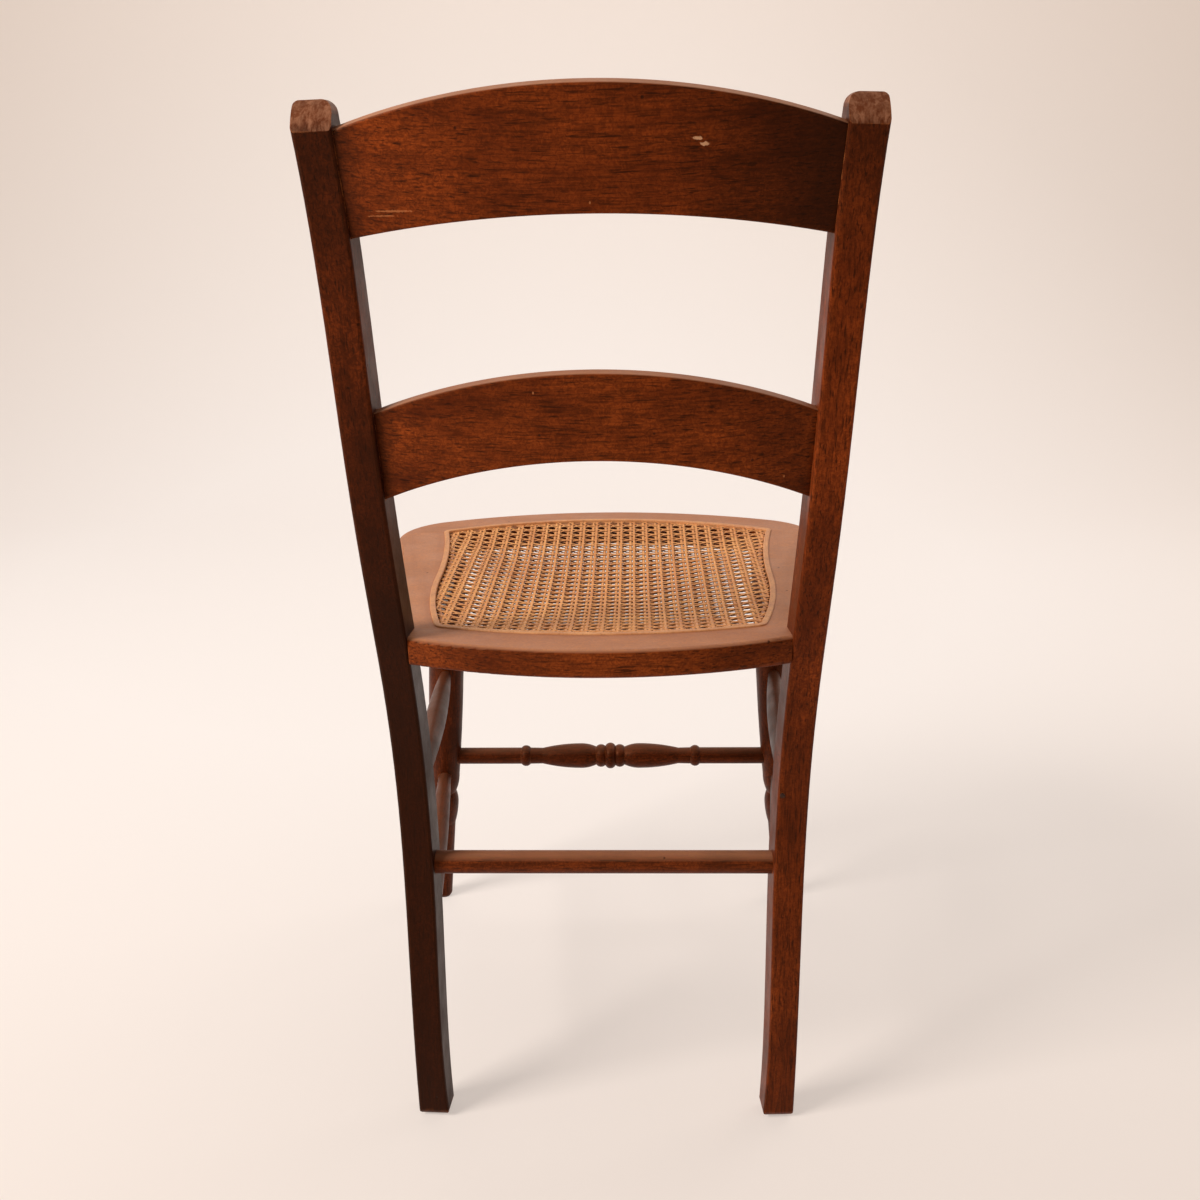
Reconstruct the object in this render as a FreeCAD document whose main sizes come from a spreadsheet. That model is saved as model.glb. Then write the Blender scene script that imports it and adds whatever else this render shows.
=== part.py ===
import FreeCAD, Part
import math
import os
import Sketcher

# Cane-seated slat-back side chair, in millimetres.
# +Z is up, the sitter faces +Y and the origin is on the floor under the middle of the chair.
# The pieces are drawn about the line through the backs of the rear posts at seat height,
# and each one's own placement then moves it back to the chair's origin.

doc = FreeCAD.newDocument("slat_back_chair")
sheet = doc.addObject("Spreadsheet::Sheet", "Sizes")

# Driving dimensions. "reach" is forward of the posts' backs, "rake" is rearward of them,
# "half" is out from the middle plane and "height" is above the floor.
SIZES = (
    ("seat_height", 444.5),
    ("rail_thickness", 23.0),
    ("seat_front_reach", 405.0),
    ("seat_front_bow", 37.0),
    ("seat_front_half", 168.5),
    ("seat_corner_half", 206.0),
    ("seat_corner_reach", 292.0),
    ("seat_corner_round", 67.4),
    ("seat_side_hollow", 7.0),
    ("seat_heel_half", 172.4),
    ("seat_heel_reach", 16.0),
    ("rear_rail_half", 160.0),
    ("rear_rail_overhang", 28.9),
    ("rear_rail_bow", 35.4),
    ("seat_edge_round", 4.0),
    ("seat_joint_reach", 322.0),
    ("cane_rear_reach", 7.6),
    ("cane_rear_half", 126.0),
    ("cane_rear_bow", 19.2),
    ("cane_heel_half", 133.7),
    ("cane_heel_reach", 34.7),
    ("cane_waist_half", 151.0),
    ("cane_waist_reach", 166.0),
    ("cane_corner_half", 164.5),
    ("cane_corner_reach", 321.4),
    ("cane_front_half", 160.6),
    ("cane_front_reach", 370.5),
    ("cane_front_bow", 41.0),
    ("cane_rear_round", 11.0),
    ("cane_front_round", 8.0),
    ("groove_width", 5.0),
    ("groove_depth", 5.5),
    ("cane_thickness", 1.6),
    ("cane_ledge", 3.0),
    ("cane_pitch", 19.05),
    ("cane_gap", 12.0),
    ("cane_margin", 3.0),
    ("cane_first_row", 14.3),
    ("spline_crown", 1.2),
    ("spline_edge_round", 1.0),
    ("post_half_spread", 176.4),
    ("post_splay", 1.6),
    ("post_toe", 4.6),
    ("post_depth", 30.0),
    ("end_depth", 28.0),
    ("post_round", 2.5),
    ("sole_width", 27.0),
    ("sole_depth", 23.0),
    ("foot_width", 25.0),
    ("post_width", 26.0),
    ("head_width", 27.0),
    ("foot_rake", 1.5),
    ("shin_height", 120.0),
    ("shin_rake", -7.0),
    ("knee_height", 250.0),
    ("knee_rake", -20.5),
    ("thigh_height", 375.0),
    ("thigh_rake", -14.5),
    ("loin_height", 520.0),
    ("loin_rake", 18.0),
    ("slat_level", 632.0),
    ("slat_rake", 36.8),
    ("crest_level", 745.0),
    ("crest_rake", 54.0),
    ("tip_height", 836.0),
    ("tip_rake", 81.0),
    ("tip_facet_height", 23.0),
    ("tip_facet_depth", 15.0),
    ("tip_facet_round", 40.0),
    ("tip_outer_round", 3.5),
    ("tip_inner_round", 9.0),
    ("foot_end_round", 7.5),
    ("crest_bottom", 744.4),
    ("crest_end_height", 70.5),
    ("crest_bottom_rise", 25.8),
    ("crest_top_rise", 37.5),
    ("crest_bow", 22.0),
    ("crest_thickness", 11.5),
    ("crest_recess", 10.0),
    ("slat_bottom", 554.1),
    ("slat_end_height", 68.0),
    ("slat_bottom_rise", 42.8),
    ("slat_top_rise", 39.5),
    ("slat_bow", 20.0),
    ("slat_thickness", 11.5),
    ("slat_recess", 9.0),
    ("slat_tenon", 14.0),
    ("slat_edge_round", 1.5),
    ("leg_top_half", 165.0),
    ("leg_top_reach", 343.0),
    ("leg_foot_half", 194.0),
    ("leg_foot_reach", 376.5),
    ("leg_top_radius", 19.0),
    ("leg_calf_radius", 18.4),
    ("leg_calf_height", 262.0),
    ("leg_calf_swell", 0.5),
    ("leg_collar_radius", 15.9),
    ("leg_collar_height", 160.0),
    ("leg_collar_swell", 1.1),
    ("leg_neck_radius", 12.4),
    ("leg_neck_height", 138.0),
    ("leg_bulb_radius", 15.3),
    ("leg_bulb_height", 124.0),
    ("leg_ankle_radius", 12.2),
    ("leg_ankle_height", 98.0),
    ("leg_foot_radius", 9.6),
    ("leg_sole_radius", 7.6),
    ("leg_sole_height", 4.0),
    ("leg_tenon_radius", 10.0),
    ("leg_tenon_length", 15.0),
    ("stretcher_tenon", 12.0),
    ("front_stretcher_height", 180.0),
    ("front_plain_radius", 8.9),
    ("front_bead_radius", 11.4),
    ("front_bead_outer", 97.5),
    ("front_bead_inner", 87.5),
    ("front_neck_radius", 8.6),
    ("front_neck_place", 74.0),
    ("front_swell_radius", 13.5),
    ("front_swell_place", 31.5),
    ("front_groove_radius", 9.9),
    ("front_groove_place", 15.5),
    ("front_ring_swell", 2.1),
    ("front_waist_radius", 10.6),
    ("front_waist_place", 5.6),
    ("front_middle_radius", 14.1),
    ("rear_stretcher_height", 231.5),
    ("rear_stretcher_radius", 9.8),
    ("upper_rear_height", 310.0),
    ("upper_front_height", 282.0),
    ("upper_post_half", 150.3),
    ("upper_end_radius", 6.0),
    ("upper_middle_radius", 10.0),
    ("lower_rear_height", 150.0),
    ("lower_front_height", 160.0),
    ("lower_post_half", 153.0),
    ("lower_end_radius", 7.0),
    ("lower_middle_radius", 9.2),
    ("shoulder_length", 3.0),
    ("fit_clearance", 0.1),
    ("rail_tenon_length", 12.0),
    ("rail_tenon_width", 9.0),
    ("rail_tenon_height", 12.0),
    ("rail_tenon_reach", 7.5),
    ("rail_tenon_rise", 5.5),
    ("side_joint_half", 120.0),
    ("side_joint_let", 0.5),
    ("side_tenon_half", 159.0),
    ("side_tenon_reach", 20.0),
    ("side_tenon_length", 24.0),
    ("dowel_radius", 4.0),
    ("dowel_length", 24.0),
    ("dowel_inner_half", 180.0),
    ("dowel_outer_half", 193.0),
    ("brad_height", 301.5),
    ("brad_half", 147.8),
    ("brad_radius", 0.9),
    ("brad_length", 24.0),
    ("brad_head_radius", 2.0),
    ("brad_head_depth", 1.0),
    ("past", 6.0),
    ("far", 300.0),
)
for row, (alias, value) in enumerate(SIZES, start=1):
    sheet.set("A%d" % row, alias)
    sheet.set("B%d" % row, str(value))
    sheet.setAlias("B%d" % row, alias)
doc.recompute()


class Names:
    """Gives every size as the words that an expression uses for it."""

    def __getattr__(self, alias):
        sheet.getPropertyByName(alias)
        return "Sizes." + alias


S = Names()
SIDES = (("left", -1), ("right", 1))
LEAST_ARC = 1.0001  # An arc's radius over half its chord.
TOUCH = 0.01  # How near a point counts as on a face.


def value_of(expression):
    """Evaluates an expression on the sheet and returns a plain number."""
    result = sheet.evalExpression(str(expression))
    return float(getattr(result, "Value", result))


def signed(side, expression):
    """An expression with the sign of a side: minus on the left, plus on the right."""
    return "({} * ({}))".format(side, expression)


def bind(thing, **sizes):
    """Binds the named properties of an object to expressions."""
    for name, expression in sizes.items():
        thing.setExpression(name, str(expression))


def about(axis, angle):
    """A rotation about a row axis, as an expression."""
    unit = {"x": "1; 0; 0", "y": "0; 1; 0", "z": "0; 0; 1"}[axis]
    return "rotation(vector({}); {})".format(unit, angle)


def along(dx, dy, dz):
    """A rotation that turns +Z to the direction (dx, dy, dz)."""
    flat = "sqrt(({0}) ^ 2 + ({1}) ^ 2)".format(dx, dy)
    return "rotation(vector(-1 * ({1}); {0}; 0); atan2({2}; {3}))".format(dx, dy, flat, dz)


def place(thing, x="0", y="0", z="0", turn=None):
    """Binds a placement: a point and a rotation."""
    turn = turn or about("z", "0")
    thing.setExpression("Placement", "placement(vector({}; {}; {}); {})".format(x, y, z, turn))


def origin_plane(body, role):
    """A body's own origin plane, found by its role."""
    return [item for item in body.Origin.OriginFeatures if item.Role == role][0]


def new_sketch(owner, name, role="XY_Plane", height=None, shift=None):
    """A sketch on one of a body's planes, or a free one when there is no body."""
    if owner is None:
        return doc.addObject("Sketcher::SketchObject", name)
    sketch = owner.newObject("Sketcher::SketchObject", name)
    sketch.AttachmentSupport = (origin_plane(owner, role), "")
    sketch.MapMode = "FlatFace"
    if height is not None:
        sketch.setExpression(".AttachmentOffset.Base.z", height)
    if shift is not None:
        sketch.setExpression(".AttachmentOffset.Base.y", shift)
    return sketch


def profile(sketch, corners):
    """
    Draws a closed outline. Each corner is (x, y), (x, y, radius) or (x, y, radius, "left").
    With a radius, the side that starts at that corner is an arc, which bulges to the right
    of the run from corner to corner, or to its left.
    """
    points = [FreeCAD.Vector(value_of(c[0]), value_of(c[1]), 0) for c in corners]
    count = len(corners)
    ends = []
    for index, corner in enumerate(corners):
        start, end = points[index], points[(index + 1) % count]
        if len(corner) == 2:
            sketch.addGeometry(Part.LineSegment(start, end), False)
            ends.append((1, 2))
            continue
        bulges_left = len(corner) == 4
        if bulges_left:
            start, end = end, start
        ends.append((2, 1) if bulges_left else (1, 2))
        chord = end - start
        radius = max(value_of(corner[2]), chord.Length / 2 * LEAST_ARC)
        inward = FreeCAD.Vector(-chord.y, chord.x, 0).normalize()
        centre = (start + end) * 0.5 + inward * math.sqrt(radius ** 2 - chord.Length ** 2 / 4)
        first = math.atan2(start.y - centre.y, start.x - centre.x)
        last = math.atan2(end.y - centre.y, end.x - centre.x)
        if last < first:
            last += 2 * math.pi
        circle = Part.Circle(centre, FreeCAD.Vector(0, 0, 1), radius)
        sketch.addGeometry(Part.ArcOfCircle(circle, first, last), False)
    for index, corner in enumerate(corners):
        after = (index + 1) % count
        sketch.addConstraint(Sketcher.Constraint("Coincident", index, ends[index][1], after, ends[after][0]))
        for kind, axis, expression in (("DistanceX", -2, corner[0]), ("DistanceY", -1, corner[1])):
            if expression == "0":
                rule = Sketcher.Constraint("PointOnObject", index, ends[index][0], axis)
                sketch.addConstraint(rule)
                continue
            number = value_of(expression)
            rule = Sketcher.Constraint(kind, -1, 1, index, ends[index][0], number)
            place_rule = sketch.addConstraint(rule)
            sketch.setExpression("Constraints[%d]" % place_rule, expression)
        if len(corner) > 2:
            rule = sketch.addConstraint(Sketcher.Constraint("Radius", index, value_of(corner[2])))
            sketch.setExpression("Constraints[%d]" % rule, corner[2])
    return sketch


def arc_radius(half_chord, rise):
    """The radius of an arc from half its chord and its rise, as an expression."""
    return "((({0}) ^ 2 + ({1}) ^ 2) / (2 * ({1})))".format(half_chord, rise)


def prism(sketch, name, up, down="0"):
    """A prism on a sketch, along the sketch's own normal."""
    item = doc.addObject("Part::Extrusion", name)
    item.Base = sketch
    item.DirMode = "Normal"
    item.Solid = True
    bind(item, LengthFwd=up, LengthRev=down)
    return item


def cut(name, base, *tools):
    """A base with tools cut out of it."""
    tool = tools[0]
    if len(tools) > 1:
        tool = doc.addObject("Part::MultiFuse", name + "_tools")
        tool.Shapes = list(tools)
    item = doc.addObject("Part::Cut", name)
    item.Base = base
    item.Tool = tool
    return item


def common(name, first, second):
    """The part that two shapes share."""
    item = doc.addObject("Part::Common", name)
    item.Base = first
    item.Tool = second
    return item


def join(name, *parts):
    """Several shapes made into one."""
    item = doc.addObject("Part::MultiFuse", name)
    item.Shapes = list(parts)
    return item


def cylinder(name, radius, height, x="0", y="0", z="0", turn=None):
    """A cylinder with its size and place bound."""
    item = doc.addObject("Part::Cylinder", name)
    bind(item, Radius=radius, Height=height)
    place(item, x, y, z, turn)
    return item


def box(name, length, width, height, x="0", y="0", z="0", turn=None):
    """A box with its size and place bound."""
    item = doc.addObject("Part::Box", name)
    bind(item, Length=length, Width=width, Height=height)
    place(item, x, y, z, turn)
    return item


def eased(name, base, chosen, radius):
    """A base with the chosen edges rounded."""
    item = doc.addObject("Part::Fillet", name)
    item.Base = base
    doc.recompute()
    size = value_of(radius)
    item.Edges = [(number, size, size) for number, edge in enumerate(base.Shape.Edges, start=1)
                  if chosen(edge)]
    return item


# Heights, rakes and levels that several pieces share.
RAIL_BASE = "({} - {})".format(S.seat_height, S.rail_thickness)
LEVELS = (
    ("foot", "0", S.foot_rake, S.sole_width, S.sole_depth),
    ("shin", S.shin_height, S.shin_rake, S.foot_width, S.post_depth),
    ("knee", S.knee_height, S.knee_rake, S.post_width, S.post_depth),
    ("thigh", S.thigh_height, S.thigh_rake, S.post_width, S.post_depth),
    ("seat", S.seat_height, "0", S.post_width, S.post_depth),
    ("loin", S.loin_height, S.loin_rake, S.post_width, S.post_depth),
    ("slat", S.slat_level, S.slat_rake, S.post_width, S.post_depth),
    ("crest", S.crest_level, S.crest_rake, S.head_width, S.end_depth),
    ("tip", S.tip_height, S.tip_rake, S.head_width, S.end_depth),
)
TIP_LEAN = "(({} - {}) / ({} - {}))".format(S.tip_rake, S.crest_rake, S.tip_height, S.crest_level)
FACET_RAKE = "({} - {} * {})".format(S.tip_rake, S.tip_facet_height, TIP_LEAN)

def post_rake(height):
    """The rake of the posts' back face at a height, between the two nearest levels."""
    for lower, upper in zip(LEVELS, LEVELS[1:]):
        if value_of(height) <= value_of(upper[1]) or upper is LEVELS[-1]:
            share = "(({} - {}) / ({} - {}))".format(height, lower[1], upper[1], lower[1])
            return "({0} + ({1} - ({0})) * {2})".format(lower[2], upper[2], share)


def outer_face(height):
    """Half the distance between the posts' outer back corners at a height."""
    return "({} + ({} - {}) * tan({}) + {} * sin({}))".format(
        S.post_half_spread, height, S.seat_height, S.post_splay, post_rake(height), S.post_toe)


def inner_face(height):
    """Half the distance between the posts' inner back corners at a height."""
    return "({} - {} * cos({}))".format(outer_face(height), S.post_width, S.post_toe)


# Rear posts: sawn to a curve, raked above the seat and swept back at the foot.

def post_section(body, name, height, rake, width, depth, side):
    """One level of a post: a rectangle with rounded corners, outer back corner on the axis."""
    sketch = new_sketch(body, name, "XY_Plane", height, "-1 * ({})".format(rake))
    r, d = S.post_round, depth
    near, far = signed(-side, r), signed(-side, "{} - {}".format(width, r))
    edge = signed(-side, width)
    deep = "({} - {})".format(d, r)
    turn = (r,) if side < 0 else (r, "left")
    return profile(sketch, [
        (near, "0"), (far, "0") + turn, (edge, r), (edge, deep) + turn,
        (far, d), (near, d) + turn, ("0", deep), ("0", r) + turn,
    ])


def pocket_through(body, sketch, name):
    """A pocket right through the body, both ways from its sketch."""
    item = body.newObject("PartDesign::Pocket", name)
    item.Profile = sketch
    item.Type = 1
    item.Midplane = True


def round_end(body, name, role, u, v, radius, out_u, out_v):
    """Cuts away the waste outside a quarter round at the corner (u, v) of an end."""
    near_u = "({} - {} * {})".format(u, out_u, radius)
    far_u = "({} + {} * {})".format(u, out_u, S.past)
    near_v = "({} - {} * {})".format(v, out_v, radius)
    far_v = "({} + {} * {})".format(v, out_v, S.past)
    turn = (radius,) if out_u * out_v > 0 else (radius, "left")
    sketch = new_sketch(body, name, role)
    profile(sketch, [(near_u, v), (near_u, far_v), (far_u, far_v), (far_u, near_v), (u, near_v) + turn])
    pocket_through(body, sketch, name + "_cut")


def post_blank(label, side):
    """The sawn post before its mortises, standing in its place."""
    body = doc.addObject("PartDesign::Body", "post_blank_" + label)
    sections = [post_section(body, "%s_%s" % (name, label), height, rake, width, depth, side)
                for name, height, rake, width, depth in LEVELS]
    loft = body.newObject("PartDesign::AdditiveLoft", "post_loft_" + label)
    loft.Profile = sections[0]
    loft.Sections = sections[1:]
    # The back of the tip slopes forward to its top.
    facet_foot = "({} - {})".format(S.tip_height, S.tip_facet_height)
    facet_back = "(-1 * {})".format(FACET_RAKE)
    facet_top = "({} + {})".format(facet_back, S.tip_facet_depth)
    behind = "({} - {})".format(facet_back, S.far)
    above = "({} + {})".format(S.tip_height, S.past)
    slope = new_sketch(body, "tip_slope_" + label, "YZ_Plane")
    profile(slope, [
        (facet_back, facet_foot, S.tip_facet_round, "left"),
        (facet_top, S.tip_height), (facet_top, above), (behind, above), (behind, facet_foot),
    ])
    pocket_through(body, slope, "tip_slope_cut_" + label)
    # The sides of the tip and all four edges of the foot are rounded over.
    inner_head, inner_foot = signed(-side, S.head_width), signed(-side, S.sole_width)
    foot_back = "(-1 * ({}))".format(S.foot_rake)
    foot_front = "({} + {})".format(foot_back, S.sole_depth)
    ends = (
        ("tip_outer_", "XZ_Plane", "0", S.tip_height, S.tip_outer_round, side, 1),
        ("tip_inner_", "XZ_Plane", inner_head, S.tip_height, S.tip_inner_round, -side, 1),
        ("foot_outer_", "XZ_Plane", "0", "0", S.foot_end_round, side, -1),
        ("foot_inner_", "XZ_Plane", inner_foot, "0", S.foot_end_round, -side, -1),
        ("foot_back_", "YZ_Plane", foot_back, "0", S.foot_end_round, -1, -1),
        ("foot_front_", "YZ_Plane", foot_front, "0", S.foot_end_round, 1, -1),
    )
    for name, role, u, v, radius, out_u, out_v in ends:
        round_end(body, name + label, role, u, v, radius, out_u, out_v)
    spread = signed(side, "{} - {} * tan({})".format(S.post_half_spread, S.seat_height, S.post_splay))
    turn = "{} * {}".format(about("z", signed(side, S.post_toe)), about("y", signed(side, S.post_splay)))
    place(body, spread, "0", "0", turn)
    return body


blanks = {side: post_blank(label, side) for label, side in SIDES}


# Crest rail and lower slat: bent boards with arched edges, let into the posts' inner faces.

def bent_slat(name, bottom, end_height, bottom_rise, top_rise, bow, thickness, recess, lean, grow):
    """A slat bowed in plan and arched in elevation. Grow adds clearance all round, for a mortise."""
    middle = "({} + {} / 2)".format(bottom, end_height)
    half = "({} + {} - {} * tan({}) + {})".format(
        inner_face(middle), S.slat_tenon, recess, S.post_toe, grow)
    minus_half = "(-1 * {})".format(half)
    under = "(-1 * {})".format(grow) if grow != "0" else "0"
    front = "({} + {})".format(thickness, grow)
    top = "({} + {})".format(end_height, grow)
    bend = arc_radius(half, bow)
    y = "(-1 * ({}) - {} * tan({}) + {})".format(post_rake(bottom), S.post_width, S.post_toe, recess)
    plan = new_sketch(None, name + "_plan")
    profile(plan, [
        (minus_half, under, bend), (half, under), (half, front, bend, "left"), (minus_half, front),
    ])
    place(plan, "0", y, bottom, lean)
    face = new_sketch(None, name + "_face")
    profile(face, [
        (minus_half, under, arc_radius(half, bottom_rise), "left"), (half, under),
        (half, top, arc_radius(half, top_rise)), (minus_half, top),
    ])
    place(face, "0", y, bottom, "{} * {}".format(lean, about("x", "90")))
    bar = prism(plan, name + "_bar", S.far, S.past)
    arch = prism(face, name + "_arch", S.far, S.far)
    return common(name, bar, arch)


def post_lean(lower, upper):
    """A lean that follows the posts between two of their levels."""
    return about("x", "atan(({} - {}) / ({} - {}))".format(upper[2], lower[2], upper[1], lower[1]))


def crest(name, grow):
    """The crest rail, or its mortises."""
    return bent_slat(name, S.crest_bottom, S.crest_end_height, S.crest_bottom_rise, S.crest_top_rise,
                     S.crest_bow, S.crest_thickness, S.crest_recess, post_lean(LEVELS[7], LEVELS[8]), grow)


def lower_back(name, grow):
    """The lower slat, or its mortises."""
    return bent_slat(name, S.slat_bottom, S.slat_end_height, S.slat_bottom_rise, S.slat_top_rise,
                     S.slat_bow, S.slat_thickness, S.slat_recess, post_lean(LEVELS[5], LEVELS[6]), grow)


def long_edge(edge):
    """Whether an edge runs most of the way from post to post."""
    return edge.BoundBox.XLength > value_of(S.post_half_spread)


crest_rail = eased("crest_eased", crest("crest_board", "0"), long_edge, S.slat_edge_round)
crest_mortise = crest("crest_mortise", S.fit_clearance)
lower_slat = eased("slat_eased", lower_back("slat_board", "0"), long_edge, S.slat_edge_round)
slat_mortise = lower_back("slat_mortise", S.fit_clearance)

# The rounded top edge of the crest rail's middle is the chair's rearmost place.
CREST_LEAN = "atan({})".format(TIP_LEAN)
CREST_FOOT = "({} + {} * tan({}) - {})".format(
    post_rake(S.crest_bottom), S.post_width, S.post_toe, S.crest_recess)
CREST_BACK = "({} + ({} - {}) * cos({}) + ({} + {} - {}) * sin({}) + {})".format(
    CREST_FOOT, S.crest_bow, S.slat_edge_round, CREST_LEAN,
    S.crest_end_height, S.crest_top_rise, S.slat_edge_round, CREST_LEAN, S.slat_edge_round)
MIDDLE = "(({} - {}) / 2)".format(CREST_BACK, S.seat_front_reach)


# Seat frame: one bowed outline, sawn into four rails that meet the posts and each other.
seat_outline = new_sketch(None, "seat_outline")
place(seat_outline, z=S.seat_height)
heel_line = "({} - {})".format(S.rear_rail_bow, S.rear_rail_overhang)
brow_line = "({} - {})".format(S.seat_front_reach, S.seat_front_bow)
side_half = "(sqrt(({} - {}) ^ 2 + ({} - {}) ^ 2) / 2)".format(
    S.seat_corner_half, S.seat_heel_half, S.seat_corner_reach, S.seat_heel_reach)
rear_bend = arc_radius(S.rear_rail_half, S.rear_rail_bow)
side_bend = arc_radius(side_half, S.seat_side_hollow)
front_bend = arc_radius(S.seat_front_half, S.seat_front_bow)
profile(seat_outline, [
    (signed(-1, S.rear_rail_half), heel_line, rear_bend),
    (S.rear_rail_half, heel_line),
    (S.seat_heel_half, S.seat_heel_reach, side_bend, "left"),
    (S.seat_corner_half, S.seat_corner_reach, S.seat_corner_round),
    (S.seat_front_half, brow_line, front_bend),
    (signed(-1, S.seat_front_half), brow_line, S.seat_corner_round),
    (signed(-1, S.seat_corner_half), S.seat_corner_reach, side_bend, "left"),
    (signed(-1, S.seat_heel_half), S.seat_heel_reach),
])
seat_slab = prism(seat_outline, "seat_slab", "0", S.rail_thickness)


def outer_rim(edge):
    """Whether an edge runs level round the outside of the seat, at its top or bottom."""
    return edge.BoundBox.ZLength < value_of(S.fit_clearance)


seat_board = eased("seat_board", seat_slab, outer_rim, S.seat_edge_round)

# Cane opening: the outline is the outer wall of the groove that the spline is driven into.
opening = new_sketch(None, "opening_outline")
place(opening, z=S.seat_height)
rear_corner = "({} + {})".format(S.cane_rear_reach, S.cane_rear_bow)
front_corner = "({} - {})".format(S.cane_front_reach, S.cane_front_bow)
heel_bend = arc_radius("({} - {})".format(S.cane_waist_reach, S.cane_heel_reach),
                       "({} - {})".format(S.cane_waist_half, S.cane_heel_half))
hip_bend = arc_radius("({} - {})".format(S.cane_corner_reach, S.cane_waist_reach),
                      "({} - {})".format(S.cane_corner_half, S.cane_waist_half))
profile(opening, [
    (signed(-1, S.cane_rear_half), rear_corner, arc_radius(S.cane_rear_half, S.cane_rear_bow)),
    (S.cane_rear_half, rear_corner, S.cane_rear_round),
    (S.cane_heel_half, S.cane_heel_reach, heel_bend),
    (S.cane_waist_half, S.cane_waist_reach, hip_bend, "left"),
    (S.cane_corner_half, S.cane_corner_reach, S.cane_front_round),
    (S.cane_front_half, front_corner, arc_radius(S.cane_front_half, S.cane_front_bow)),
    (signed(-1, S.cane_front_half), front_corner, S.cane_front_round),
    (signed(-1, S.cane_corner_half), S.cane_corner_reach, hip_bend, "left"),
    (signed(-1, S.cane_waist_half), S.cane_waist_reach, heel_bend),
    (signed(-1, S.cane_heel_half), S.cane_heel_reach, S.cane_rear_round),
])


def inset(name, distance):
    """The opening's outline moved inward by a distance."""
    item = doc.addObject("Part::Offset2D", name)
    item.Source = opening
    bind(item, Value="-1 * ({})".format(distance))
    return item


spline_line = inset("spline_line", S.groove_width)
cane_line = inset("cane_line", "{} + {}".format(S.groove_width, S.cane_thickness))
ledge_line = inset("ledge_line", "{} + {} + {}".format(S.groove_width, S.cane_thickness, S.cane_ledge))
groove_ring = cut("groove_ring", prism(opening, "groove_outer", S.past, S.groove_depth),
                  prism(cane_line, "groove_inner", S.far, S.far))
rebate = prism(opening, "cane_rebate", S.past, S.cane_thickness)
through = prism(ledge_line, "seat_opening", S.past, "{} + {}".format(S.rail_thickness, S.past))
open_seat = cut("open_seat", seat_board, groove_ring, rebate, through)
seat_frame = cut("seat_frame", open_seat, blanks[-1], blanks[1])


def butt_region(label, side):
    """The space in front of a post's front face, turned and leaned with the post."""
    seat, thigh = LEVELS[4], LEVELS[3]
    lean = "atan(({} - ({})) / ({} - {}))".format(seat[2], thigh[2], seat[1], thigh[1])
    front = "({} - ({}) - {})".format(S.post_depth, post_rake(RAIL_BASE), S.side_joint_let)
    item = box("butt_region_" + label, S.far, "2 * " + S.far, S.far)
    local = "placement(vector({} / -2; {}; {}); {})".format(S.far, front, RAIL_BASE, about("x", lean))
    drop = "placement(vector(0; 0; {} / -2); {})".format(S.far, about("x", "0"))
    item.setExpression("Placement", "post_blank_{}.Placement * {} * {}".format(label, local, drop))
    return item


def region(name, x, y, length, width):
    """A block of space as tall as the rails and more."""
    return box(name, length, width, "{} + 2 * {}".format(S.rail_thickness, S.past),
               x, y, "{} - {}".format(RAIL_BASE, S.past))


front_region = region("front_region", signed(-1, S.far), S.seat_joint_reach, "2 * " + S.far, S.far)
rear_region = region("rear_region", signed(-1, S.rear_rail_half), signed(-1, S.far),
                     "2 * " + S.rear_rail_half, "{} + 2 * {}".format(S.far, S.post_depth))
side_blanks = {}
for label, side in SIDES:
    start = S.side_joint_half if side > 0 else signed(-1, "{} + {}".format(S.side_joint_half, S.far))
    side_region = region("side_region_" + label, start, "0", S.far, S.seat_joint_reach)
    halved = common("side_half_" + label, seat_frame, side_region)
    side_blanks[side] = common("side_blank_" + label, halved, butt_region(label, side))
front_blank = common("front_blank", seat_frame, front_region)
rear_half = common("rear_half", seat_frame, rear_region)


def behind_post(label, side):
    """The space behind a post and outward of its inner face, where the rear rail is sawn off."""
    inner = signed(-side, S.post_width)
    start = inner if side > 0 else "{} - {}".format(inner, S.far)
    item = box("behind_post_" + label, S.far, S.far, "{} + 2 * {}".format(S.rail_thickness, S.past))
    local = "placement(vector({}; {} / 2 - {}; {} - {}); {})".format(
        start, S.post_depth, S.far, RAIL_BASE, S.past, about("x", "0"))
    item.setExpression("Placement", "post_blank_{}.Placement * {}".format(label, local))
    return item


waste = [behind_post(label, side) for label, side in SIDES]
rear_blank = cut("rear_blank", rear_half, side_blanks[-1], side_blanks[1], *waste)

# Rail joints: tenons into the posts and two loose dowels across each front joint.
TENON_BASE = "({} + {})".format(RAIL_BASE, S.rail_tenon_rise)


def rear_tenon(name, grow):
    """The tenons at both ends of the rear rail, or their mortises."""
    half = "({} + {} + {})".format(inner_face(RAIL_BASE), S.rail_tenon_length, grow)
    return box(name, "2 * " + half, "{} + 2 * {}".format(S.rail_tenon_width, grow),
               "{} + 2 * {}".format(S.rail_tenon_height, grow), "-1 * " + half,
               "{} - {}".format(S.rail_tenon_reach, grow), "{} - {}".format(TENON_BASE, grow))


def side_tenon(name, side, grow):
    """The tenon at a side rail's rear end, or its mortise."""
    middle = signed(side, "{} + {} / 2".format(S.side_tenon_half, S.rail_tenon_width))
    return box(name, "{} + 2 * {}".format(S.rail_tenon_width, grow),
               "{} + {}".format(S.side_tenon_length, grow),
               "{} + 2 * {}".format(S.rail_tenon_height, grow),
               "{} - {} / 2 - {}".format(middle, S.rail_tenon_width, grow),
               "{} - {}".format(S.side_tenon_reach, grow), "{} - {}".format(TENON_BASE, grow))


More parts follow.
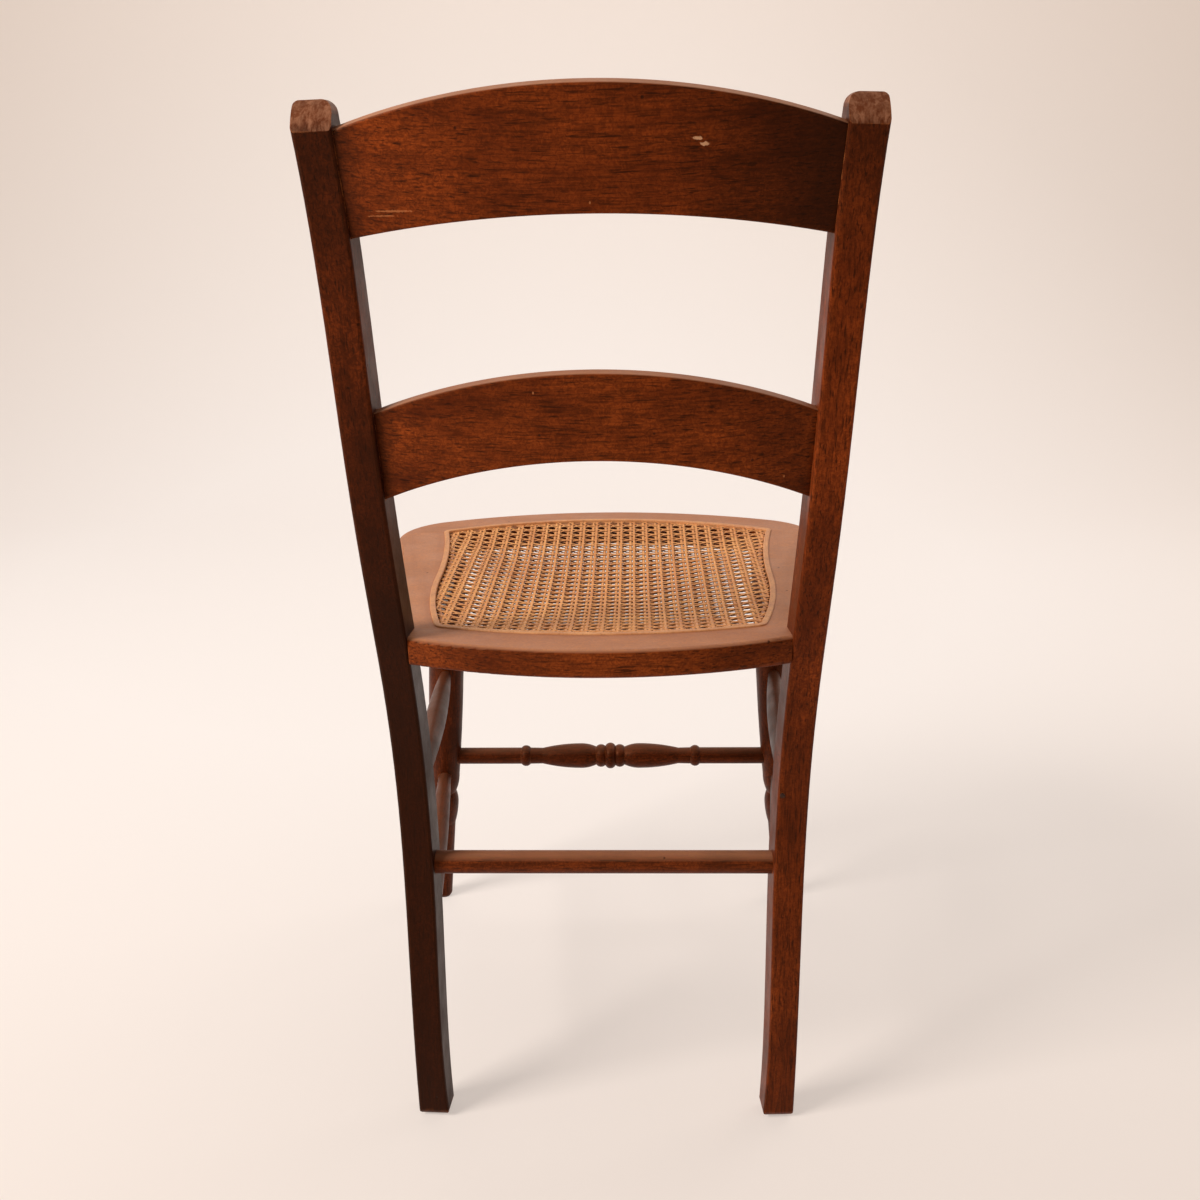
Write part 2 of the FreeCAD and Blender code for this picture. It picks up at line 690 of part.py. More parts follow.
def dowels(name, side, grow):
    """The two dowels across a front joint, or their holes."""
    start = "({} - {} / 2 - {})".format(S.seat_joint_reach, S.dowel_length, grow)
    level = "({} - {} / 2)".format(S.seat_height, S.rail_thickness)
    pair = [cylinder("%s_%d" % (name, number), "{} + {}".format(S.dowel_radius, grow),
                     "{} + 2 * {}".format(S.dowel_length, grow), signed(side, half), start, level,
                     about("x", "-90"))
            for number, half in ((1, S.dowel_inner_half), (2, S.dowel_outer_half))]
    return join(name, *pair)


rear_rail = join("rear_rail", rear_blank, rear_tenon("rear_tenons", "0"))
rear_mortise = rear_tenon("rear_mortises", S.fit_clearance)
dowel_holes = {side: dowels("dowel_holes_" + label, side, S.fit_clearance) for label, side in SIDES}
seat_dowels = join("seat_dowels", *[dowels("dowels_" + label, side, "0") for label, side in SIDES])
side_mortises = {}
side_rails = {}
for label, side in SIDES:
    tenoned = join("side_tenoned_" + label, side_blanks[side], side_tenon("side_tenon_" + label, side, "0"))
    side_rails[side] = cut("side_rail_" + label, tenoned, dowel_holes[side])
    side_mortises[side] = side_tenon("side_mortise_" + label, side, S.fit_clearance)

# Cane panel: a flat sheet with a net of eight-sided gaps and a leg down the groove's inner wall.
net = doc.addObject("Part::Feature", "cane_net")


def octagon(x, y, width):
    """A wire with eight equal sides, as wide as given across its flats."""
    radius = width / 2 / math.cos(math.pi / 8)
    angles = [math.pi / 8 + corner * math.pi / 4 for corner in range(9)]
    return Part.makePolygon([FreeCAD.Vector(x + radius * math.cos(angle), y + radius * math.sin(angle), 0)
                             for angle in angles])


def cane_net_face():
    """The sheet's outline with every whole gap that clears the seat's ledge by a margin."""
    doc.recompute()
    drop = FreeCAD.Vector(0, 0, -value_of(S.seat_height))
    outline = spline_line.Shape.Wires[0].translated(drop)
    limit = Part.Face(ledge_line.Shape.Wires[0].translated(drop))
    pitch, gap, margin = value_of(S.cane_pitch), value_of(S.cane_gap), value_of(S.cane_margin)
    reach = gap / 2 + margin
    across = int(value_of(S.seat_corner_half) / pitch)
    rows = int(value_of(S.cane_front_reach) / pitch) + 1
    gaps = []
    for row in range(rows):
        y = value_of(S.cane_rear_reach) + value_of(S.cane_first_row) + pitch * row
        for column in range(-across, across + 1):
            x = column * pitch
            around = [FreeCAD.Vector(x + reach * math.cos(turn * math.pi / 4),
                                     y + reach * math.sin(turn * math.pi / 4), 0) for turn in range(8)]
            if all(limit.isInside(point, TOUCH, True) for point in around):
                gaps.append(octagon(x, y, gap))
    return Part.makeFace(Part.makeCompound([outline] + gaps), "Part::FaceMakerBullseye"), len(gaps)


net.Shape, gap_count = cane_net_face()
place(net, z=S.seat_height)
cane_sheet = prism(net, "cane_sheet", "0", S.cane_thickness)
cane_leg = cut("cane_leg", prism(spline_line, "cane_leg_outer", "0", S.groove_depth),
               prism(cane_line, "cane_leg_inner", S.past, S.far))
cane_panel = join("cane_net_panel", cane_sheet, cane_leg)
spline_bar = cut("spline_bar", prism(opening, "spline_outer", S.spline_crown, S.groove_depth),
                 prism(spline_line, "spline_inner", S.past, S.far))


def spline_top(edge):
    """Whether an edge is along the top of the spline."""
    return edge.BoundBox.ZMin > value_of(S.seat_height) + value_of(S.spline_crown) / 2


cane_spline = eased("spline_ring", spline_bar, spline_top, S.spline_edge_round)


# Front legs: turned, splayed outward and forward, with a bulb above the foot.

def turning(name, outline):
    """A round piece turned about Z from an outline of (radius, height) corners."""
    body = doc.addObject("PartDesign::Body", name)
    sketch = new_sketch(body, name + "_outline", "XZ_Plane")
    profile(sketch, outline)
    item = body.newObject("PartDesign::Revolution", name + "_turned")
    item.Profile = sketch
    item.ReferenceAxis = (sketch, ["V_Axis"])
    item.Angle = 360
    return body


LEG_OUT = "({} - {})".format(S.leg_top_half, S.leg_foot_half)
LEG_BACK = "({} - {})".format(S.leg_top_reach, S.leg_foot_reach)


def leg_half(height):
    """How far out a leg's axis is at a height."""
    return "({} + {} * ({}) / {})".format(S.leg_foot_half, LEG_OUT, height, RAIL_BASE)


def leg_reach(height):
    """How far forward a leg's axis is at a height."""
    return "({} + {} * ({}) / {})".format(S.leg_foot_reach, LEG_BACK, height, RAIL_BASE)


def leg_tenon(name, side, grow):
    """The round tenon on top of a leg, or its blind hole."""
    return cylinder(name, "{} + {}".format(S.leg_tenon_radius, grow),
                    "{} + {} + {}".format(S.leg_tenon_length, grow, S.past),
                    signed(side, S.leg_top_half), S.leg_top_reach, "{} - {}".format(RAIL_BASE, S.past))


def leg_blank(label, side):
    """A turned leg with its foot and top cut level, and a round tenon for the front rail."""
    calf_half = "(({} - {}) / 2)".format(S.leg_calf_height, S.leg_collar_height)
    collar_half = "(({} - {}) / 2)".format(S.leg_collar_height, S.leg_neck_height)
    rise = "({} - {})".format(S.leg_bulb_height, S.leg_ankle_height)
    fall = "({} - {})".format(S.leg_neck_height, S.leg_bulb_height)
    above = "({} + {})".format(RAIL_BASE, S.leg_tenon_length)
    body = turning("leg_turning_" + label, [
        ("0", signed(-1, S.past)),
        (S.leg_sole_radius, signed(-1, S.past)),
        (S.leg_sole_radius, "0"),
        (S.leg_foot_radius, S.leg_sole_height),
        (S.leg_ankle_radius, S.leg_ankle_height,
         arc_radius(rise, "({} - {})".format(S.leg_bulb_radius, S.leg_ankle_radius))),
        (S.leg_bulb_radius, S.leg_bulb_height,
         arc_radius(fall, "({} - {})".format(S.leg_bulb_radius, S.leg_neck_radius))),
        (S.leg_neck_radius, S.leg_neck_height, arc_radius(collar_half, S.leg_collar_swell)),
        (S.leg_collar_radius, S.leg_collar_height, arc_radius(calf_half, S.leg_calf_swell)),
        (S.leg_calf_radius, S.leg_calf_height),
        (S.leg_top_radius, RAIL_BASE),
        (S.leg_top_radius, above),
        ("0", above),
    ])
    place(body, signed(side, S.leg_foot_half), S.leg_foot_reach, "0",
          along(signed(side, LEG_OUT), LEG_BACK, RAIL_BASE))
    space = box("leg_space_" + label, S.far, S.far, RAIL_BASE,
                "{} - {} / 2".format(signed(side, S.leg_foot_half), S.far),
                "{} - {} / 2".format(S.leg_foot_reach, S.far))
    levelled = common("leg_levelled_" + label, body, space)
    return join("leg_blank_" + label, levelled, leg_tenon("leg_tenon_" + label, side, "0"))


leg_blanks = {side: leg_blank(label, side) for label, side in SIDES}
leg_holes = [leg_tenon("leg_hole_" + label, side, S.fit_clearance) for label, side in SIDES]
front_rail = cut("front_rail", front_blank, dowel_holes[-1], dowel_holes[1], *leg_holes)

# Front stretcher: turned with beads, two long swells and a bead in the middle.
front_y = leg_reach(S.front_stretcher_height)
front_end = "({} - {} + {})".format(
    leg_half(S.front_stretcher_height), S.leg_collar_radius, S.stretcher_tenon)
bead_half = "(({} - {}) / 2)".format(S.front_bead_outer, S.front_bead_inner)
ring_half = "(({} - {}) / 2)".format(S.front_groove_place, S.front_waist_place)
stations = [
    (S.front_plain_radius, S.front_bead_outer),
    (S.front_plain_radius, S.front_bead_inner),
    (S.front_neck_radius, S.front_neck_place),
    (S.front_swell_radius, S.front_swell_place),
    (S.front_groove_radius, S.front_groove_place),
    (S.front_waist_radius, S.front_waist_place),
]
bends = [
    (arc_radius(bead_half, "({} - {})".format(S.front_bead_radius, S.front_plain_radius)),),
    (),
    (arc_radius("({} - {})".format(S.front_neck_place, S.front_swell_place),
                "({} - {})".format(S.front_swell_radius, S.front_neck_radius)),),
    (arc_radius("({} - {})".format(S.front_swell_place, S.front_groove_place),
                "({} - {})".format(S.front_swell_radius, S.front_groove_radius)),),
    (arc_radius(ring_half, S.front_ring_swell),),
    (arc_radius(S.front_waist_place, "({} - {})".format(S.front_middle_radius, S.front_waist_radius)),),
]
front_outline = [("0", signed(-1, front_end)), (S.front_plain_radius, signed(-1, front_end))]
for (radius, distance), bend in zip(stations, bends):
    front_outline.append((radius, signed(-1, distance)) + bend)
for number in range(len(stations) - 1, 0, -1):
    front_outline.append(stations[number] + bends[number - 1])
front_outline += [stations[0], (S.front_plain_radius, front_end), ("0", front_end)]
front_stretcher = turning("front_turning", front_outline)
place(front_stretcher, "0", front_y, S.front_stretcher_height, about("y", "90"))
front_bore = cylinder("front_bore", "{} + {}".format(S.front_plain_radius, S.fit_clearance),
                      "2 * {} + 2 * {}".format(front_end, S.fit_clearance),
                      "-1 * {} - {}".format(front_end, S.fit_clearance),
                      front_y, S.front_stretcher_height, about("y", "90"))

# Rear stretcher: a plain round between the posts.
rear_line = "(-1 * ({}) + {} / 2)".format(post_rake(S.rear_stretcher_height), S.post_depth)
rear_end = "({} - {} / 2 * tan({}) + {})".format(
    inner_face(S.rear_stretcher_height), S.post_depth, S.post_toe, S.stretcher_tenon)


def rear_round(name, grow):
    """The rear stretcher, or the holes for its ends."""
    end = "({} + {})".format(rear_end, grow)
    return cylinder(name, "{} + {}".format(S.rear_stretcher_radius, grow), "2 * " + end,
                    "-1 * " + end, rear_line, S.rear_stretcher_height, about("y", "90"))


rear_stretcher = rear_round("rear_round", "0")
rear_bore = rear_round("rear_bore", S.fit_clearance)


# Side stretchers: fatter in the middle, run from a post's front face into the leg's back.

def side_stretcher(label, side, name, rear_height, front_height, post_half, end_radius, middle_radius):
    """A side stretcher and the bores for its rear and front ends."""
    y = "(-1 * ({}) + {} / 2)".format(post_rake(rear_height), S.post_depth)
    dx = signed(side, "{} - {}".format(leg_half(front_height), post_half))
    dy = "({} - {})".format(leg_reach(front_height), y)
    dz = "({} - {})".format(front_height, rear_height)
    length = "sqrt({} ^ 2 + {} ^ 2 + {} ^ 2)".format(dx, dy, dz)
    start = "({} / 2 - {})".format(S.post_depth, S.stretcher_tenon)
    finish = "({} - {} + {})".format(length, S.leg_top_radius, S.stretcher_tenon)
    swell_start = "({} / 2 + {})".format(S.post_depth, S.shoulder_length)
    swell_end = "({} - {} - {})".format(length, S.leg_top_radius, S.shoulder_length)
    half = "(({} - {}) / 2)".format(swell_end, swell_start)
    bend = arc_radius(half, "({} - {})".format(middle_radius, end_radius))
    body = turning("%s_turning_%s" % (name, label), [
        ("0", start), (end_radius, start), (end_radius, swell_start, bend), (end_radius, swell_end),
        (end_radius, finish), ("0", finish),
    ])
    place(body, signed(side, post_half), y, rear_height, along(dx, dy, dz))
    bores = []
    for end, low, high in (("rear", start, swell_start), ("front", swell_end, finish)):
        local = "placement(vector(0; 0; {} - {}); {})".format(low, S.fit_clearance, about("z", "0"))
        bore = cylinder("%s_bore_%s_%s" % (name, end, label), "{} + {}".format(end_radius, S.fit_clearance),
                        "{} - {} + 2 * {}".format(high, low, S.fit_clearance))
        bore.setExpression("Placement", "{}.Placement * {}".format(body.Name, local))
        bores.append(bore)
    return body, bores[0], bores[1]


uppers, lowers = {}, {}
for label, side in SIDES:
    uppers[side] = side_stretcher(label, side, "upper", S.upper_rear_height, S.upper_front_height,
                                  S.upper_post_half, S.upper_end_radius, S.upper_middle_radius)
    lowers[side] = side_stretcher(label, side, "lower", S.lower_rear_height, S.lower_front_height,
                                  S.lower_post_half, S.lower_end_radius, S.lower_middle_radius)

# Brad: one nail from the back of the right post into the end of the upper side stretcher.
brad_back = "(-1 * ({}) - {} * tan({}))".format(
    post_rake(S.brad_height), "({} - {})".format(outer_face(S.brad_height), S.brad_half), S.post_toe)


def brad(name, grow):
    """The nail with its round head set flush, or its hole."""
    shank = cylinder(name + "_shank", "{} + {}".format(S.brad_radius, grow),
                     "{} + {}".format(S.brad_length, grow),
                     S.brad_half, brad_back, S.brad_height, about("x", "-90"))
    head = cylinder(name + "_head", "{} + {}".format(S.brad_head_radius, grow),
                    "{} + {}".format(S.brad_head_depth, grow), S.brad_half, brad_back, S.brad_height,
                    about("x", "-90"))
    return join(name, shank, head)


nail = brad("nail", "0")
nail_hole = brad("nail_hole", S.fit_clearance)

# Finished pieces: each blank less its joints.
pieces = {
    "crest_rail": crest_rail,
    "lower_slat": lower_slat,
    "seat_rear_rail": rear_rail,
    "seat_front_rail": front_rail,
    "seat_frame_dowels": seat_dowels,
    "cane_panel": cane_panel,
    "cane_spline": cane_spline,
    "front_stretcher": front_stretcher,
    "rear_stretcher": rear_stretcher,
    "stretcher_brad": nail,
}
for label, side in SIDES:
    post_cuts = [crest_mortise, slat_mortise, rear_mortise, side_mortises[side], rear_bore,
                 uppers[side][1], lowers[side][1]]
    upper = uppers[side][0]
    if side > 0:
        post_cuts.append(nail_hole)
        upper = cut("upper_nailed", upper, nail_hole)
    pieces["rear_post_" + label] = cut("post_" + label, blanks[side], *post_cuts)
    pieces["seat_side_rail_" + label] = side_rails[side]
    pieces["front_leg_" + label] = cut("leg_" + label, leg_blanks[side], front_bore,
                                       uppers[side][2], lowers[side][2])
    pieces["upper_side_stretcher_" + label] = upper
    pieces["lower_side_stretcher_" + label] = lowers[side][0]
doc.recompute()

# Each piece's own label and placement, then a check of every object before anything is written.
nodes = {}
for node, piece in pieces.items():
    holder = doc.addObject("Part::Compound", node)
    holder.Links = [piece]
    place(holder, y=MIDDLE)
    nodes[node] = holder
doc.recompute()
bad = [item.Name for item in doc.Objects if "Invalid" in item.State or "Error" in item.State]
for item in doc.Objects:
    shape = getattr(item, "Shape", None)
    if shape is not None and (shape.isNull() or not shape.isValid()):
        bad.append(item.Name)
bad += [node for node, holder in nodes.items() if holder.Label != node or not holder.Shape.Solids]
if bad:
    raise RuntimeError("not sound: " + ", ".join(bad))
os.makedirs("parts", exist_ok=True)
for node, holder in nodes.items():
    holder.Shape.exportStep("parts/%s.step" % node)
    extent = holder.Shape.BoundBox
    print(node, len(holder.Shape.Solids), [round(v, 1) for v in (
        extent.XMin, extent.XMax, extent.YMin, extent.YMax, extent.ZMin, extent.ZMax, holder.Shape.Volume)])
print("gaps in the cane sheet:", gap_count)
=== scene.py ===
import math

import bpy
import numpy as np
from mathutils import Matrix, Vector


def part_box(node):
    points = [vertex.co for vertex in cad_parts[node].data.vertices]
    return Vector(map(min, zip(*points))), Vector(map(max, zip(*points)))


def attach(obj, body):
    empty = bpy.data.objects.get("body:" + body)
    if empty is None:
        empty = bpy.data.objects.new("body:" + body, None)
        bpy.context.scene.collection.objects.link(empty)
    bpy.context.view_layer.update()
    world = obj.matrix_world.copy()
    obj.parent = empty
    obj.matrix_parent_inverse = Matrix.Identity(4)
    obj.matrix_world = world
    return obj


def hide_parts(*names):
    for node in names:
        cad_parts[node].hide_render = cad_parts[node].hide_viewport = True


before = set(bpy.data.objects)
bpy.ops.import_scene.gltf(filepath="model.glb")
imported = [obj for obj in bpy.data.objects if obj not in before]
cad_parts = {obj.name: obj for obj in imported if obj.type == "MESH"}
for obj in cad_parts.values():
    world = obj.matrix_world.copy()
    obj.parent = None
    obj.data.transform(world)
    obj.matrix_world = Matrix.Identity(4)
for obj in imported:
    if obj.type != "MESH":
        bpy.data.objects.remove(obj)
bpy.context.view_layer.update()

# Crest rail and lower slat.
# Two brown hardwood boards, steamed to a bow, sawn to an arch and let into the posts.
# An old thin stain and satin varnish has worn off the arrises and gone dusty on top; the
# arrises also carry a painted highlight, and the tops are painted paler as lit. Painted shadow
# of the posts darkens the left ends, and painted shade darkens the right ends, which turn from
# the light.


class Finish:
    """One finish, built up in layers of nodes over the object's own coordinates."""

    def __init__(self, name):
        self.material = bpy.data.materials.new(name)
        self.material.use_nodes = True
        self.tree = self.material.node_tree
        self.shader = self.tree.nodes["Principled BSDF"]

    def add(self, kind, inputs=(), **settings):
        node = self.tree.nodes.new(kind)
        for name, value in settings.items():
            setattr(node, name, value)
        for key, value in dict(inputs).items():
            self.feed(node.inputs[key], value)
        return node

    def feed(self, socket, value):
        if isinstance(value, bpy.types.NodeSocket):
            self.tree.links.new(value, socket)
        else:
            socket.default_value = value

    def math(self, kind, *values):
        node = self.add("ShaderNodeMath", operation=kind)
        for socket, value in zip(node.inputs, values):
            self.feed(socket, value)
        return node.outputs[0]

    def steps(self, value, low, high, out_low=0.0, out_high=1.0):
        return self.add("ShaderNodeMapRange", {
            "Value": value, "From Min": low, "From Max": high, "To Min": out_low, "To Max": out_high,
        }).outputs[0]

    def over(self, amount, under, coat):
        """A coat of colour laid over another by an amount."""
        node = self.add("ShaderNodeMix", data_type="RGBA")
        self.feed(node.inputs[0], amount)
        self.feed(node.inputs[6], under)
        self.feed(node.inputs[7], coat)
        return node.outputs[2]

    def noise(self, place, scale, detail=4.0, rough=0.55, twist=0.0):
        return self.add("ShaderNodeTexNoise", {
            "Vector": place, "Scale": scale, "Detail": detail, "Roughness": rough, "Distortion": twist,
        }).outputs["Fac"]

    def drawn(self, place, scale, turn=(0.0, 0.0, 0.0), move=(0.0, 0.0, 0.0)):
        """Coordinates drawn out, turned and moved, so that a pattern runs with the grain."""
        return self.add("ShaderNodeMapping", {
            "Vector": place, "Scale": scale, "Rotation": turn, "Location": move}).outputs["Vector"]

    def spot(self, where, place, size, ragged):
        """One inside an oval patch at a place, falling to nothing at its ragged edge."""
        offset = self.add("ShaderNodeVectorMath", {0: where, 1: place}, operation="SUBTRACT").outputs[0]
        scaled = self.add("ShaderNodeVectorMath", {0: offset, 1: size}, operation="DIVIDE").outputs[0]
        far = self.add("ShaderNodeVectorMath", {0: scaled}, operation="LENGTH").outputs["Value"]
        return self.steps(self.math("ADD", far, ragged), 1.0, 0.7)


def tint(red, green, blue):
    """A colour seen on a screen, from 0 to 255, as the light that it reflects."""
    parts = [((c / 255 + 0.055) / 1.055) ** 2.4 if c > 10 else c / 3295 for c in (red, green, blue)]
    return (*parts, 1.0)


def stained_wood(name, grain, deep, warm, seed, dust_and_light=0.35, edge_wear_and_light=1.0, turn=0.0,
                 marks=(), painted_shade_runs=(), shade_hollow=None):
    """
    Stained and varnished hardwood, with its grain along one axis.
    deep and warm are its darkest and lightest stain, dust_and_light is how pale its upward faces
    are painted, as dusted tops and as painted light, and edge_wear_and_light how far its edges are
    worn through the stain and painted with a highlight. marks are (place, size, colour, strength)
    patches, painted_shade_runs are (axis, from, to, strength) runs of painted shade over which the
    stain gets darker, and shade_hollow is the (middle, size) of an opening whose walls are painted
    almost black as shade.
    """
    g = Finish(name)
    where = g.add("ShaderNodeTexCoord").outputs["Object"]
    moved = g.drawn(where, (1.0, 1.0, 1.0), (0.0, 0.0, turn), (seed, seed * 0.7, -seed))
    draw = {"x": (0.07, 1.0, 1.0), "y": (1.0, 0.07, 1.0), "z": (1.0, 1.0, 0.07)}[grain]
    run = g.drawn(moved, draw)
    bands = g.noise(run, 46.0, 5.0, 0.6, 0.4)
    fibres = g.noise(run, 520.0, 3.0, 0.7)
    pores = g.noise(g.drawn(run, (1.0, 1.0, 1.0), move=(3.1, 1.7, 2.3)), 760.0, 1.5, 0.5)
    curl = g.noise(moved, 260.0, 3.0, 0.6, 1.6)
    cloud = g.noise(moved, 17.0, 4.0, 0.6)
    share = g.math("ADD", g.steps(bands, 0.32, 0.68, 0.0, 0.5), g.steps(cloud, 0.32, 0.68, 0.0, 0.5))
    base = g.over(share, deep, warm)
    base = g.over(g.steps(curl, 0.40, 0.60, 0.0, 0.6), base, deep)
    base = g.over(g.steps(fibres, 0.42, 0.62, 0.0, 0.5), base, tint(40, 14, 5))
    pore_mask = g.steps(pores, 0.58, 0.70, 0.0, 0.7)
    base = g.over(pore_mask, base, tint(22, 8, 4))
    axes = g.add("ShaderNodeSeparateXYZ", {0: where})
    # Painted shade: each run darkens the stain towards near black.
    for axis, start, end, strength in painted_shade_runs:
        base = g.over(g.steps(axes.outputs[axis], start, end, 0.0, strength), base, tint(24, 7, 4))
    # Painted shade: the walls of the opening are painted almost black.
    if shade_hollow:
        base = g.over(g.spot(where, shade_hollow[0], shade_hollow[1], 0.0), base, tint(14, 4, 2))
    # Dust and thin varnish on the faces that look up, and painted light: these faces are painted paler.
    face = g.add("ShaderNodeNewGeometry").outputs["Normal"]
    upward = g.steps(g.add("ShaderNodeSeparateXYZ", {0: face}).outputs["Z"], 0.45, 0.92)
    dust_and_lit_top = g.math("MULTIPLY", g.math("MULTIPLY", upward, dust_and_light), g.steps(cloud, 0.2, 0.6, 0.82, 1.0))
    pale = g.over(g.steps(curl, 0.4, 0.62, 0.0, 0.6), tint(180, 124, 94), tint(206, 138, 92))
    pale = g.over(g.steps(bands, 0.4, 0.7, 0.0, 0.4), pale, tint(150, 96, 70))
    base = g.over(dust_and_lit_top, base, pale)
    # Edges rubbed through the stain and painted with a highlight, broken up by a fine noise.
    rim = g.add("ShaderNodeBevel", {"Radius": 0.0016}, samples=4).outputs[0]
    facing = g.add("ShaderNodeVectorMath", {0: rim, 1: face}, operation="DOT_PRODUCT").outputs["Value"]
    torn = g.steps(g.noise(moved, 140.0, 5.0, 0.7), 0.44, 0.6)
    rubbed_lit_edges = g.math("MULTIPLY", g.math("MULTIPLY", g.steps(facing, 0.99, 0.88), torn), 0.7 * edge_wear_and_light)
    base = g.over(rubbed_lit_edges, base, tint(186, 108, 58))
    # Small dark dents, a few pale specks and the marks of its own.
    dents = g.steps(g.add("ShaderNodeTexVoronoi", {"Vector": moved, "Scale": 42.0}).outputs["Distance"],
                    0.06, 0.03)
    base = g.over(g.math("MULTIPLY", dents, 0.75), base, tint(20, 8, 5))
    specks = g.add("ShaderNodeTexVoronoi", {
        "Vector": g.drawn(moved, (1.3, 1.0, 0.8), move=(5.0, 2.0, 1.0)), "Scale": 30.0})
    base = g.over(g.steps(specks.outputs["Distance"], 0.03, 0.016, 0.0, 0.7), base, tint(184, 116, 70))
    if marks:
        ragged = g.steps(g.noise(where, 700.0, 3.0, 0.7), 0.2, 0.8, -0.7, 0.7)
        for place, size, colour, strength in marks:
            base = g.over(g.math("MULTIPLY", g.spot(where, place, size, ragged), strength), base, colour)
    g.feed(g.shader.inputs["Base Color"], base)
    dull = g.steps(g.noise(moved, 30.0, 4.0, 0.6), 0.3, 0.7, 0.36, 0.54)
    g.feed(g.shader.inputs["Roughness"], g.math("ADD", dull, g.math("MULTIPLY", rubbed_lit_edges, 0.2)))
    g.feed(g.shader.inputs["Specular IOR Level"], 0.2)
    g.feed(g.shader.inputs["Specular Tint"], (1.0, 0.42, 0.2, 1.0))
    relief = g.math("ADD", g.math("MULTIPLY", fibres, 0.5), g.math("MULTIPLY", pore_mask, -0.7))
    relief = g.math("ADD", relief, g.math("MULTIPLY", dents, -2.2))
    bump = g.add("ShaderNodeBump", {"Height": relief, "Strength": 0.3, "Distance": 0.0005})
    g.feed(g.shader.inputs["Normal"], bump.outputs[0])
    return g


def dress(node, finish):
    """Gives a carried-over solid one finish all over."""
    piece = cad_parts[node]
    piece.data.materials.clear()
    piece.data.materials.append(finish.material)
    piece.data.polygons.foreach_set("material_index", [0] * len(piece.data.polygons))


SLAT_DEEP, SLAT_WARM = tint(76, 26, 7), tint(154, 68, 23)
CHIP, SCRATCH = tint(222, 172, 130), tint(186, 112, 66)
crest_low, crest_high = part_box("crest_rail")
crest_back, crest_top = crest_low[1], crest_high[2]
crest_marks = (
    ((0.0690, crest_back + 0.012, crest_top - 0.0360), (0.0034, 0.03, 0.0012), CHIP, 0.8),
    ((0.0735, crest_back + 0.012, crest_top - 0.0395), (0.0030, 0.03, 0.0014), CHIP, 0.8),
    ((-0.131, crest_back + 0.030, crest_top - 0.0785), (0.0150, 0.03, 0.0008), SCRATCH, 0.6),
    ((-0.139, crest_back + 0.030, crest_top - 0.0815), (0.0110, 0.03, 0.0007), SCRATCH, 0.5),
)
# Painted shade: the right part darkens as it turns from the light, and the left end carries the painted
# shadow of the left post.
crest_painted_shade = (("X", 0.05, 0.15, 0.82), ("X", -0.146, -0.168, 0.9))
dress("crest_rail", stained_wood("crest_wood", "x", SLAT_DEEP, SLAT_WARM, 1.3, 0.85, 1.2,
                                 marks=crest_marks, painted_shade_runs=crest_painted_shade))
# Painted shade as on the crest: a little on the right part, and the left post's painted shadow on the left
# end.
slat_painted_shade = (("X", 0.09, 0.17, 0.3), ("X", -0.142, -0.160, 0.85))
dress("lower_slat", stained_wood("slat_wood", "x", SLAT_DEEP, tint(166, 76, 27), 4.1, 0.7, 0.8,
                                 painted_shade_runs=slat_painted_shade))


# Rear posts.
# Sawn uprights with the stain thin down the arrises, which also carry a painted highlight. The
# tips are rubbed to a paler, dusty brown where hands lift the chair. Painted shade darkens both
# posts beside the slats and from the seat down, and the left post is stained darker all over as
# painted shade.
def post_wood(name, deep, warm, seed, painted_shade_runs):
    """Post wood whose tip fades to a worn paler brown on its sloping facet and its top."""
    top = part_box("rear_post_left")[1][2]
    g = stained_wood(name, "z", deep, warm, seed, 0.3, 1.2, painted_shade_runs=painted_shade_runs)
    where = g.add("ShaderNodeTexCoord").outputs["Object"]
    height = g.add("ShaderNodeSeparateXYZ", {0: where}).outputs["Z"]
    face = g.add("ShaderNodeNewGeometry").outputs["Normal"]
    slope = g.add("ShaderNodeSeparateXYZ", {0: face}).outputs["Z"]
    streak = g.noise(g.drawn(where, (1.0, 1.0, 0.1)), 260.0, 4.0, 0.7, 0.3)
    blotch = g.noise(where, 90.0, 3.0, 0.6)
    fade = g.math("ADD", height, g.steps(streak, 0.2, 0.8, -0.006, 0.006))
    upper = g.steps(fade, top - 0.024, top - 0.014)
    worn = g.math("MULTIPLY", g.math("MULTIPLY", upper, g.steps(slope, 0.04, 0.3)),
                  g.steps(blotch, 0.3, 0.6, 0.6, 1.0))
    old = g.shader.inputs["Base Color"].links[0].from_socket
    tip = g.over(g.steps(streak, 0.40, 0.62), tint(108, 56, 32), tint(156, 104, 76))
    lift = g.math("ADD", height, g.steps(blotch, 0.2, 0.8, -0.006, 0.006))
    foot = g.over(g.steps(lift, 0.008, 0.002, 0.0, 0.5), old, tint(120, 66, 36))
    g.feed(g.shader.inputs["Base Color"], g.over(g.math("MULTIPLY", worn, 0.92), foot, tip))
    return g


# Painted shade: the left post's darker stain, and on both posts the runs darker beside the slats and from
# the seat down.
dress("rear_post_left", post_wood("post_wood_left", tint(40, 12, 5), tint(120, 50, 17), 7.7,
                                  (("Z", 0.62, 0.48, 0.85), ("Z", 0.70, 0.79, 0.65))))
dress("rear_post_right", post_wood("post_wood_right", tint(84, 30, 9), tint(158, 70, 25), 9.2,
                                   (("Z", 0.72, 0.80, 0.6), ("Z", 0.58, 0.44, 0.2))))

# Seat frame.
# Four flat rails, sawn to one bowed outline, tenoned into the posts and dowelled in front.
# Their tops are dusty and painted paler as lit, and the walls of the opening for the cane are
# painted almost black as shade.
RAIL_DEEP, RAIL_WARM = tint(84, 32, 10), tint(156, 72, 26)
